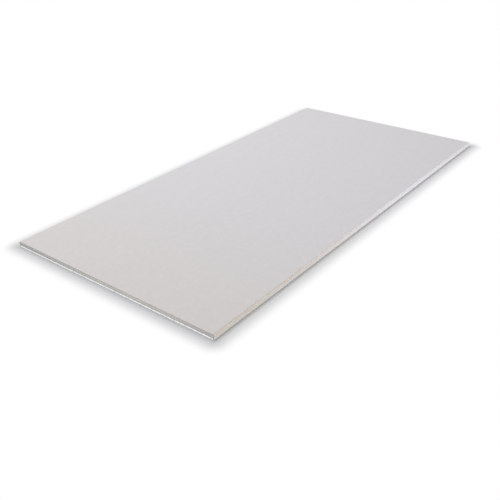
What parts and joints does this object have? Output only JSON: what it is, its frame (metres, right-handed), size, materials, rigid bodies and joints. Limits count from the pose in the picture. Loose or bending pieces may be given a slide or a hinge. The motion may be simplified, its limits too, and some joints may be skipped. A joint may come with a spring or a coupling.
{
  "type": "drywall sheet",
  "caption": "Rectangular foil-backed drywall sheet with paper-wrapped rounded long edges, square-cut ends and a silver film on its back, lying face up.",
  "frame": {"origin": "middle of the foil's underside, where the sheet lies", "axes": "+X along the sheet's length, +Y across its width, +Z out of the paper face"},
  "size_m": [1.2002, 0.6, 0.0126],
  "materials": {
    "board_paper": "matte",
    "foil_film": "polished"
  },
  "bodies": {
    "root": {"gypsum_board": "board_paper", "foil_backing": "foil_film"}
  },
  "joints": []
}
